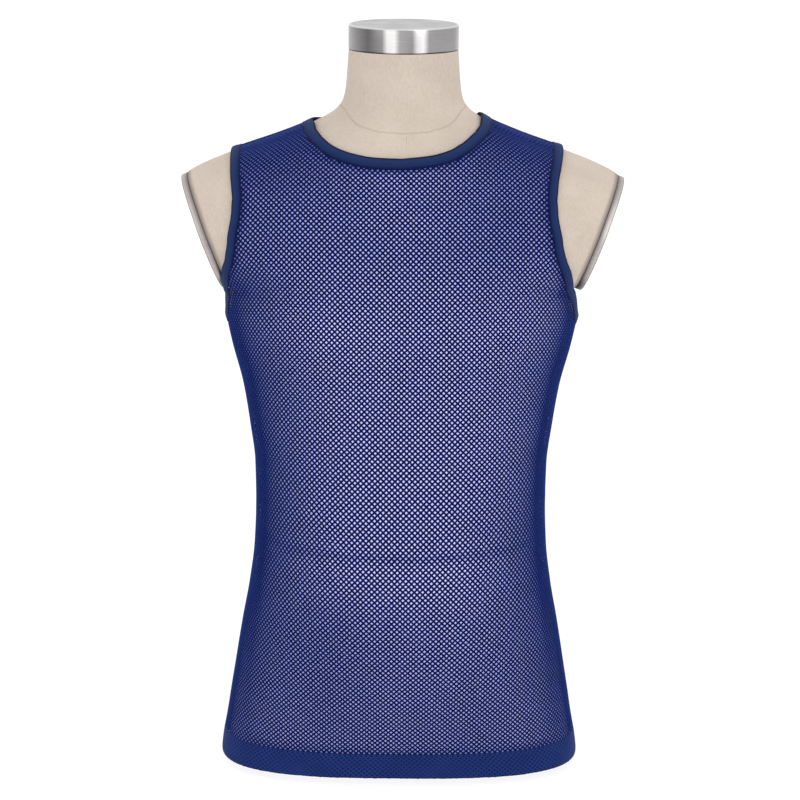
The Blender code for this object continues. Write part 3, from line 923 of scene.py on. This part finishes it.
def makeOutline(side, hand, low):  # the edge of half a panel, as if at +X
    neck, hole = necklinePlaces(side, hand), armholePlaces(side, hand)
    lines = [
        between((0.0, low), (90.0, low), 200),
        between((90.0, low), hole[0], 200),
        hole,
        between(hole[-1], neck[-1], 60),
        neck[::-1],
    ]
    points = []
    for line in lines:
        angles, heights, _ = evenPlaces(line, 1.0)
        points.extend(clothPoints(180.0 - angles if side == "back" else angles, heights))
    tree = kdtree.KDTree(len(points))
    for point in points:
        tree.insert(point, 0)
    tree.balance()
    return dict(low=low, neck=np.array(neck), hole=np.array(hole), tree=tree)


def insideBy(outline, turns, heights, points):  # mm inside the panel's edge, negative outside
    neck, hole = outline["neck"], outline["hole"]
    within = (heights > outline["low"]) & (turns < 90.0)
    within &= heights < np.interp(turns, neck[:, 0], neck[:, 1])
    within &= turns < np.interp(heights, hole[:, 1], hole[:, 0], left=90.0, right=90.0)
    far = np.array([outline["tree"].find((abs(x), y, z))[2] for x, y, z in points])
    return np.where(within, far, -far)


def netPanel(name, side):
    fabric = fabricTable(side)
    cells = weave["cells"]
    form = bmesh.new()
    bmesh.ops.create_grid(form, x_segments=cells, y_segments=cells, size=cells / 2)
    for vertex in form.verts:  # the grid stands on its corner, so its holes are staggered
        x, y, _ = vertex.co
        across, up = (x - y) / 2, (x + y) / 2 + weave["middleRow"]
        vertex.co = (across * weave["cellAcross"], up * weave["cellUp"], 0.0)
    centres = np.array([face.calc_center_median() for face in form.faces])
    places = fabricPoints(fabric, centres)
    inside = np.empty(len(places))
    for hand, here in (("left", centres[:, 0] >= 0.0), ("right", centres[:, 0] < 0.0)):
        outline = makeOutline(side, hand, hem["height"] + hem["depth"] - weave["underHem"])
        inside[here] = insideBy(outline, places[here, 6], places[here, 7], places[here, :3])
    outside = [face for face, depth in zip(form.faces, inside) if depth < -weave["underBinding"]]
    bmesh.ops.delete(form, geom=outside, context="FACES")
    holes = form.faces[:]
    ridge = form.verts.layers.float.new("ridge")
    for vertex in form.verts:
        vertex[ridge] = 1.0
    bmesh.ops.inset_individual(form, faces=holes, thickness=weave["strand"], use_even_offset=True)
    for vertex in {vertex for face in holes for vertex in face.verts}:
        vertex[ridge] = 0.0
    bmesh.ops.delete(form, geom=holes, context="FACES")
    if side == "back":
        bmesh.ops.reverse_faces(form, faces=form.faces)
    mesh = meshFrom(form, name)
    flat = meshPoints(mesh)
    raised = np.empty(len(flat), np.float32)
    mesh.attributes["ridge"].data.foreach_get("value", raised)
    flat[:, :2] += rng.normal(0.0, weave["unevenness"], (len(flat), 2)) * (raised < 0.5)[:, None]
    setUv(mesh, flat[:, :2])
    facts = fabricPoints(fabric, flat)
    lift = weave["lift"] + weave["strandRise"] * raised + creaseLift(facts[:, :3])
    setPoints(mesh, facts[:, :3] + facts[:, 3:6] * lift[:, None])
    setFact(mesh, "facesUp", facts[:, 5])
    mesh.shade_smooth()
    print(name, len(holes), "holes,", 2 * len(mesh.polygons), "triangles")
    return addObject(name, mesh, navyMesh)


frontNet = netPanel("front_net", "front")
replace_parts(frontNet, "front_panel")
backNet = netPanel("back_net", "back")
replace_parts(backNet, "back_panel")

# The turned hem, folded double. section: mm above the hem's fold and out from the cloth's place.
hemBand = dict(
    section=table(
        "up lift",
        (25.2, 0.5), (24.6, 1.1), (22.5, 1.45), (17, 1.65), (10, 1.8), (4, 1.95), (1.7, 1.9),
        (0.9, 1.75), (0.1, 1.2), (0.2, 0.5), (2, 0.1), (10, 0), (24, 0),
    ),
    columns=340,
    samples=4001,
    gap=0.15,
    ripple=0.12,  # mm, fading out by rippleUp
    rippleUp=6.0,
    shadeAboveFold=1.6,  # mm that are dark above the fold
)


def sectionColumns(section, *keys):  # closed on itself
    return [np.array([row[key] for row in section + section[:1]]) for key in keys]


def makeHem(name, side):
    ups, lifts = sectionColumns(hemBand["section"], "up", "lift")
    arcs = np.linspace(-1.0, 1.0, hemBand["columns"] + 1)
    turns = 90.0 * np.linspace(-1.0, 1.0, hemBand["samples"])
    centre, back = (0.0, -1.0) if side == "front" else (180.0, 1.0)
    length = lengthAlong(clothPoints(centre + turns, hem["height"]))
    reach = length[-1] / 2.0
    angles = np.interp((arcs + 1.0) * reach, length, turns)
    angles[0], angles[-1] = -90.0, 90.0
    around = lengthAlong(np.stack([ups, lifts], axis=-1))
    jag = rng.normal(0.0, hemBand["ripple"], hemBand["columns"] + 1)

    def place(column, row):
        angle = centre + angles[column]
        low = np.clip(1.0 - ups[row] / hemBand["rippleUp"], 0.0, 1.0)
        height = hem["height"] + ups[row] + jag[column] * low
        points = clothPoints(angle, height)
        out = points + skinNormals(angle, height) * (lifts[row] + creaseLift(points))[:, None]
        out[:, 1] += hemBand["gap"] * back
        return out

    def uvOf(column, row):
        return np.stack([arcs[column] * reach, around[row]], axis=-1)

    # painted shade just above the fold along the lower edge
    def foldShadeOf(column, row):  # the fold along the lower edge
        return np.clip(1.0 - ups[row] / hemBand["shadeAboveFold"], 0.0, 1.0)

    mesh = gridMesh(name, hemBand["columns"], len(ups) - 1, place, uvOf, dict(foldShadeAndSeamDark=foldShadeOf))
    changeMesh(mesh, closeEnds)
    return addObject(name, mesh, navyMeshDouble)


frontHem = makeHem("front_hem", "front")
backHem = makeHem("back_hem", "back")
print("panels and hems ready")


def layBand(name, places, size, across, lifts, facts, ring=False):
    # a section, across and lifts, carried along a line on the cloth
    angles, heights, length = evenPlaces(places, size["step"], ring)
    here, normals = clothPoints(angles, heights), skinNormals(angles, heights)
    count = len(here)
    if ring:
        columns = count
        along = np.roll(here, -1, axis=0) - np.roll(here, 1, axis=0)
        waver = waverOf(count)
    else:
        columns = count - 1
        along = np.gradient(here, axis=0)
        waver = np.zeros(count)
    away = np.cross(along, normals)
    away /= np.linalg.norm(away, axis=1, keepdims=True)
    around = lengthAlong(np.stack([across, lifts], axis=-1))

    def place(column, row):
        n = column % count
        beside = away[n] * (across[row] + waver[n])[:, None]
        return here[n] + beside + normals[n] * lifts[row][:, None]

    def uvOf(column, row):
        return np.stack([column * length / columns, around[row]], axis=-1)

    return gridMesh(name, columns, len(across) - 1, place, uvOf, facts, ring)


def waverOf(count):  # how the sewn edge wanders, without a step where the ring closes
    draws = np.tile(rng.normal(0.0, 1.0, count), 3)
    even = np.ones(bindings["waverOver"]) / bindings["waverOver"]
    return np.convolve(draws, even, "same")[count:2 * count] * bindings["waver"]


# Folded bands round the neck and the armholes. across: 0 at the edge that lies on the net, 1 at
# the open edge.
bindings = dict(
    neck=dict(width=10.8, overNet=1.4, step=1.6),
    armhole=dict(width=8.8, overNet=1.4, step=1.6),
    section=table(
        "across lift",
        (0, 0.75), (0.02, 1.25), (0.08, 1.6), (0.2, 1.75), (0.26, 1.5), (0.33, 1.8), (0.55, 2.05),
        (0.8, 2.1), (0.93, 1.85), (0.99, 1.3), (0.985, 0.6), (0.9, 0.15), (0.5, 0), (0.1, 0.1),
    ),
    # the part inside the fold gets the painted shade of the open edge
    outside=0.5,  # what is lifted more than this shows, and the rest is inside the fold
    inside=1.1,
    waver=0.2,
    waverOver=15,
)


def makeBinding(name, places, size, node):
    shares, lifts = sectionColumns(bindings["section"], "across", "lift")
    across = shares * (size["width"] + size["overNet"]) - size["overNet"]
    shown = np.where(lifts > bindings["outside"], shares, bindings["inside"])
    facts = dict(acrossBand=lambda column, row: shown[row])
    mesh = layBand(name, places, size, across, lifts, facts, ring=True)
    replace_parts(addObject(name, mesh, navyJersey), node)


def turned(places, start, way):  # one quarter's places, as angles round the whole form
    return [(start + way * angle, height) for angle, height in places]


def neckPlaces():  # round by the right shoulder, so the panels are on the left seen from outside
    loop = turned(necklinePlaces("front", "right")[:-1], 360.0, -1.0)
    loop += turned(necklinePlaces("back", "right")[:0:-1], 180.0, 1.0)
    loop += turned(necklinePlaces("back", "left")[:-1], 180.0, -1.0)
    return loop + necklinePlaces("front", "left")[:0:-1]


def sleevePlaces(hand):
    front, back = armholePlaces("front", hand), armholePlaces("back", hand)
    loop = front[:-1] + turned(back[:0:-1], 180.0, -1.0)
    return loop if hand == "left" else turned(loop[::-1], 360.0, -1.0)


makeBinding("neck_band", neckPlaces(), bindings["neck"], "neck_binding")
for hand in ("left", "right"):
    name, node = f"armhole_band_{hand}", f"armhole_binding_{hand}"
    makeBinding(name, sleevePlaces(hand), bindings["armhole"], node)

# the side and shoulder seams, as narrow soft ridges over the joins
seamRidge = dict(
    width=5.0,
    section=table(
        "across lift",
        (-1, 0.35), (-0.75, 1.05), (-0.3, 1.3), (0, 1.05), (0.3, 1.3), (0.75, 1.05), (1, 0.35),
        (0, 0.1),
    ),
    step=1.6,
    sideTop=448.0,
    shoulderDark=0.75,
)


def makeSeam(name, start, end, dark):
    shares, lifts = sectionColumns(seamRidge["section"], "across", "lift")
    # how far the seam takes the dark colour that the hem uses for its painted fold shade
    facts = dict(foldShadeAndSeamDark=lambda column, row: np.full(len(row), dark))
    across = shares * seamRidge["width"] / 2.0
    mesh = layBand(name, between(start, end, 200), seamRidge, across, lifts, facts)
    changeMesh(mesh, closeEnds)
    return addObject(name, mesh, navyMeshDouble)


for hand, line in (("left", 90.0), ("right", 270.0)):
    tip, top = armholePlaces("front", hand)[-1][1], necklinePlaces("front", hand)[-1][1]
    side = (line, hem["height"] + 1.0), (line, seamRidge["sideTop"])
    shoulder = (line, tip - 0.5), (line, top + 0.5)
    makeSeam(f"side_seam_{hand}", *side, 0.0)
    makeSeam(f"shoulder_seam_{hand}", *shoulder, seamRidge["shoulderDark"])
print("bindings and seams ready")


dressForm = dict(around=192, levelStep=4.0, girth=900.0, sharp=40.0)
neckSeamRows = table(
    "angle height",
    (0, 643), (15, 644.2), (31, 648.5), (61, 660.5), (90, 665), (135, 668), (180, 669),
)
waistSeamRows = table("angle height", (0, 232), (45, 234), (90, 238), (180, 242))
centreSeam = dict(frontAside=3.0, aboveNeck=2.0)


def platePlane(side, out):
    lean = radians(armPlate["lean"])
    facing = Vector((side * cos(lean), 0.0, -sin(lean)))
    return (Vector((side * armPlate["half"], 0.0, armPlate["height"])) + facing * out) * mm, facing


def cutShoulder(form, side, out):
    point, facing = platePlane(side, out)
    lowest = (armPlate["height"] - armPlate["gap"]) * mm
    verts = {vertex for vertex in form.verts if vertex.co.z > lowest}
    parts = [part for part in form.edges[:] + form.faces[:] if verts.issuperset(part.verts)]
    cut = bmesh.ops.bisect_plane(
        form, geom=list(verts) + parts, plane_co=point, plane_no=facing, clear_outer=True
    )
    rim = [part for part in cut["geom_cut"] if isinstance(part, bmesh.types.BMEdge)]
    return bmesh.ops.edgeloop_fill(form, edges=rim)["faces"][0]


def wholeForm(name, facts):
    levels = set(np.arange(0.0, neckTop, dressForm["levelStep"]))
    levels = np.array(sorted(levels | {row["height"] for row in formSections + footInset}))
    around = dressForm["around"]

    def angleOf(column):
        return 360.0 * column / around

    def place(column, row):
        return formPoints(angleOf(column), levels[row])

    def uvOf(column, row):  # mm round and up, for the weave
        return np.stack([column * dressForm["girth"] / around, levels[row]], axis=-1)

    def onGrid(fact):
        return lambda column, row: fact(angleOf(column), levels[row])

    facts = {label: onGrid(fact) for label, fact in facts.items()}
    mesh = gridMesh(name, around, len(levels) - 1, place, uvOf, facts)
    form = bmesh.new()
    form.from_mesh(mesh)
    closeEnds(form)
    return mesh, form


# How much of the pale form shows through the net, and how brightly its painted light glows, seen
# from in front: at the middle of the body, half way to each side and near each side, right being
# the wearer's. least: at any slant.
netRows = table(
    "height farRight right middle left farLeft least",
    (0, 0.25, 0.25, 0.25, 0.25, 0.25, 0.2),
    (32, 0.3, 0.3, 0.32, 0.3, 0.3, 0.2),
    (40, 0.55, 0.5, 0.53, 0.49, 0.66, 0.2),
    (60, 0.64, 0.49, 0.61, 0.53, 0.7, 0.18),
    (130, 0.6, 0.475, 0.665, 0.665, 0.68, 0.08),
    (171, 0.64, 0.56, 0.765, 0.765, 0.745, 0.02),
    (200, 0.66, 0.79, 0.89, 0.95, 0.79, 0),
    (254, 0.66, 0.9, 0.89, 0.92, 0.84, 0),
    (337, 0.76, 0.91, 0.94, 1, 1.2, 0),
    (419, 0.7, 0.91, 0.86, 0.93, 1.1, 0),
    (459, 0.76, 0.98, 0.9, 0.93, 1.18, 0.04),
    (498, 0.64, 0.76, 0.73, 0.77, 1.2, 0.1),
    (536, 0.5, 0.59, 0.64, 0.52, 0.66, 0.14),
    (572, 0.43, 0.54, 0.73, 0.475, 0.44, 0.18),
    (605, 0.35, 0.44, 0.76, 0.5, 0.46, 0.14),
    (660, 0.32, 0.38, 0.72, 0.42, 0.38, 0.09),
)
netPlaces = dict(farRight=-0.85, right=-0.45, middle=0.0, left=0.45, farLeft=0.85)
netChange = dict(
    # dimmer along the panel's edge, and along the form's waist seam
    edge=6.0,
    edgeOpen=0.2,
    seamDark=0.34,
    seamWidth=3.0,
    # a paler line below that seam
    pale=0.12,
    paleBelow=14.0,
    paleWidth=5.0,
    paleReach=0.75,
)
linenShade = dict(fullTuck=3.0, tuckAbove=1.0, plateBelow=2.0, bareFoot=4.0)
nearSide = 89.9  # degrees, just short of the side line


def coveredBy(angles, heights):  # mm inside the cloth's edge, negative where the linen is bare
    onLeft = angles <= 180.0
    angles = np.where(onLeft, angles, 360.0 - angles)
    turns = np.where(angles <= 90.0, angles, 180.0 - angles)
    points = clothPoints(angles, heights)
    depth = np.empty(len(turns))
    for side in ("front", "back"):
        for hand in ("left", "right"):
            here = ((angles <= 90.0) == (side == "front")) & (onLeft == (hand == "left"))
            outline = makeOutline(side, hand, -farOff)
            inner = np.minimum(turns[here], nearSide)
            depth[here] = insideBy(outline, inner, heights[here], points[here])
    return depth


def netColumn(key, heights):
    return np.interp(heights, [row["height"] for row in netRows], [row[key] for row in netRows])


# the share of the pale linen that shows, and the strength of its painted glow
def netOpenAndGlow(angles, heights):
    reach = skinPoints(angles, heights)[:, 0] / onLine(formLines["half"], heights)
    columns = np.array([netColumn(key, heights) for key in netPlaces])
    where = list(netPlaces.values())
    share = np.array([np.interp(at, where, column) for at, column in zip(reach, columns.T)])
    edge = np.clip(coveredBy(angles, heights) / netChange["edge"], 0.0, 1.0)
    share = share * (netChange["edgeOpen"] + (1.0 - netChange["edgeOpen"]) * edge)
    gap = seamGap(waistSeamRows, angles, heights)
    share = share * (1.0 - netChange["seamDark"] * np.exp(-(gap / netChange["seamWidth"]) ** 2))
    pale = np.exp(-((gap + netChange["paleBelow"]) / netChange["paleWidth"]) ** 2)
    return share * (1.0 + netChange["pale"] * pale * (np.abs(reach) < netChange["paleReach"]))


def netLeastOpenAndGlow(angles, heights):
    return netColumn("least", heights)


def plateGap(angles, heights):  # mm inward from the planes of the arm plates
    points = formPoints(angles, heights)
    lean = radians(armPlate["lean"])
    aside = np.abs(points[:, 0]) - armPlate["half"]
    above = points[:, 2] - armPlate["height"]
    inward = above * sin(lean) - aside * cos(lean)
    return np.where(above > -linenShade["plateBelow"], inward, farOff)


def armShade(angles, heights):  # 1 where the form is tucked in below the plates
    beside = np.abs(np.sin(np.radians(angles))) ** tuckSpread
    shade = np.clip(onLine(tuckLine, heights) * beside / linenShade["fullTuck"], 0.0, 1.0)
    return shade * (heights < armPlate["height"] + linenShade["tuckAbove"])


def seamGap(rows, angles, heights):
    places = [row["angle"] for row in rows], [row["height"] for row in rows]
    return heights - np.interp(np.minimum(angles, 360.0 - angles), *places)


def neckSeam(angles, heights):
    return seamGap(neckSeamRows, angles, heights)


def waistSeam(angles, heights):
    return seamGap(waistSeamRows, angles, heights)


def centreGap(angles, heights):  # from the seams down the middle of the front and the back
    middle = np.where(np.abs(angles - 180.0) > 90.0, centreSeam["frontAside"], 0.0)
    above = np.maximum(neckSeam(angles, heights), 0.0)
    return np.abs(skinPoints(angles, heights)[:, 0] - middle) + centreSeam["aboveNeck"] * above


def underCloth(angles, heights):  # the linen is bare at the foot
    return np.minimum(coveredBy(angles, heights), heights - hem["height"] - linenShade["bareFoot"])


def makeForm():
    facts = dict(
        underCloth=underCloth, neckSeam=neckSeam, waistSeam=waistSeam, centreSeam=centreGap,
        netOpenAndGlow=netOpenAndGlow, netLeastOpenAndGlow=netLeastOpenAndGlow, plateGap=plateGap, armShade=armShade,
    )
    mesh, form = wholeForm("linen_form", facts)
    for side in (-1, 1):
        cutShoulder(form, side, 0.0)
    bmesh.ops.recalc_face_normals(form, faces=form.faces)
    form.to_mesh(mesh)
    form.free()
    shadeMesh(mesh, dressForm["sharp"])
    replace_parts(addObject("linen_form", mesh, linenCover), "dress_form")


# steps: how far in each ring of the plate's face is, and how far out it stands, mm
plateFace = dict(
    steps=[(0.9, 0.0), (1.6, -0.5), (3.0, 0.0), (1.2, 0.35)], bevel=0.5, rim=50.0, sharp=35.0,
)


def makePlate(name, side, node):
    mesh, form = wholeForm(name, {})
    outline = cutShoulder(form, side, armPlate["gap"])
    rest = [face for face in form.faces if face is not outline]
    bmesh.ops.delete(form, geom=rest, context="FACES")
    bmesh.ops.remove_doubles(form, verts=form.verts, dist=armPlate["closest"] * mm)
    facing = platePlane(side, 0.0)[1]
    grown = bmesh.ops.extrude_face_region(form, geom=form.faces[:], use_keep_orig=True)
    moved = [part for part in grown["geom"] if isinstance(part, bmesh.types.BMVert)]
    bmesh.ops.translate(form, verts=moved, vec=facing * armPlate["thick"] * mm)
    bmesh.ops.recalc_face_normals(form, faces=form.faces)
    flat = [face for face in form.faces if len(face.verts) > 4]
    outer = max(flat, key=lambda face: face.calc_center_median().dot(facing))
    for thick, depth in plateFace["steps"]:
        bmesh.ops.inset_region(form, faces=[outer], thickness=thick * mm, depth=depth * mm)
    whole = [edge for edge in form.edges if edge.is_manifold]
    rim = [edge for edge in whole if edge.calc_face_angle() > radians(plateFace["rim"])]
    bmesh.ops.bevel(
        form, geom=rim, offset=plateFace["bevel"] * mm, offset_type="OFFSET", segments=2,
        profile=0.5, affect="EDGES", material=-1,
    )
    outward = form.verts.layers.float.new("outward")
    start = platePlane(side, armPlate["gap"])[0].dot(facing)
    for vertex in form.verts:
        vertex[outward] = (vertex.co.dot(facing) - start) / (armPlate["thick"] * mm)
    form.to_mesh(mesh)
    form.free()
    shadeMesh(mesh, plateFace["sharp"])
    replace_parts(addObject(name, mesh, plateSteel), node)


makeForm()
makePlate("plate_left", 1, "arm_plate_left")
makePlate("plate_right", -1, "arm_plate_right")


def makeCap():
    foot = neckTop + neckCap["gap"]
    top, radius, lip = foot + neckCap["high"], neckCap["radius"], neckCap["lip"]
    profile = [
        (0.0, top - 0.5), (radius * 0.55, top - 0.35), (radius - 4.2, top - 0.15),
        (radius - 2.6, top), (radius - 1.1, top - 0.15), (radius - 0.3, top - 0.7),
        (radius, top - 1.6), (radius, foot + lip), (radius - 0.4, foot + 0.5),
        (radius - lip, foot), (0.0, foot),
    ]
    form = bmesh.new()
    line = [form.verts.new((x * mm, 0.0, z * mm)) for x, z in profile]
    edges = [form.edges.new(pair) for pair in zip(line, line[1:])]
    bmesh.ops.spin(
        form, geom=line + edges, cent=(0.0, 0.0, 0.0), axis=(0.0, 0.0, 1.0), angle=2.0 * pi,
        steps=neckCap["steps"], use_merge=True,
    )
    bmesh.ops.remove_doubles(form, verts=form.verts, dist=mergeGap)
    bmesh.ops.recalc_face_normals(form, faces=form.faces)
    mesh = meshFrom(form, "steel_cap")
    shadeMesh(mesh, neckCap["sharp"])
    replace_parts(addObject("steel_cap", mesh, capSteel), "neck_cap")


makeCap()
print("form, plates and cap ready")

studio = dict(
    floor=dict(roughness=0.9, colour=(0.2, 0.2, 0.2), glowColour=(1.0, 1.0, 1.0), glow=0.84),
    floorSize=30.0,
    world=1.03,
    key=dict(place=(1.7, -2.7, 2.3), size=1.6, power=20.0),
    fill=dict(place=(-2.2, -2.0, 1.6), size=1.8, power=5.0),
    target=(0.0, 0.0, 0.4),
)

form = bmesh.new()
bmesh.ops.create_grid(form, x_segments=1, y_segments=1, size=studio["floorSize"])
floorMesh = meshFrom(form, "floor")
floorMesh.materials.append(newMaterial("floorPale", studio["floor"])[0])
floor = linkObject("floor", floorMesh)

world = bpy.data.worlds.new("studio")
bpy.context.scene.world = world
world.use_nodes = True
background = world.node_tree.nodes["Background"].inputs
background["Color"].default_value = (1.0, 1.0, 1.0, 1.0)
background["Strength"].default_value = studio["world"]

for name in ("key", "fill"):
    data = bpy.data.lights.new(name, "AREA")
    data.shape = "SQUARE"
    data.size, data.energy = studio[name]["size"], studio[name]["power"]
    light = linkObject(name, data)
    light.location = studio[name]["place"]
    aim = Vector(studio["target"]) - Vector(studio[name]["place"])
    light.rotation_euler = aim.to_track_quat("-Z", "Y").to_euler()

# focal, size and centre are in pixels of the picture
view = dict(
    place=(0.0, -3.235, 1.051), down=11.888, roll=0.38, focal=3306.0, size=800.0,
    centre=(401.3, 396.6), sensor=36.0,
)
cameraData = bpy.data.cameras.new("camera")
cameraData.sensor_width = view["sensor"]
cameraData.lens = view["focal"] / view["size"] * view["sensor"]
cameraData.shift_x = (view["size"] / 2.0 - view["centre"][0]) / view["size"]
cameraData.shift_y = (view["centre"][1] - view["size"] / 2.0) / view["size"]
camera = linkObject("camera", cameraData)
camera.location = view["place"]
tilt = Matrix.Rotation(pi / 2.0 - radians(view["down"]), 3, "X")
roll = Matrix.Rotation(radians(view["roll"]), 3, "Z")
camera.rotation_euler = (tilt @ roll).to_euler()
bpy.context.scene.camera = camera
bpy.context.scene.view_settings.view_transform = "Standard"
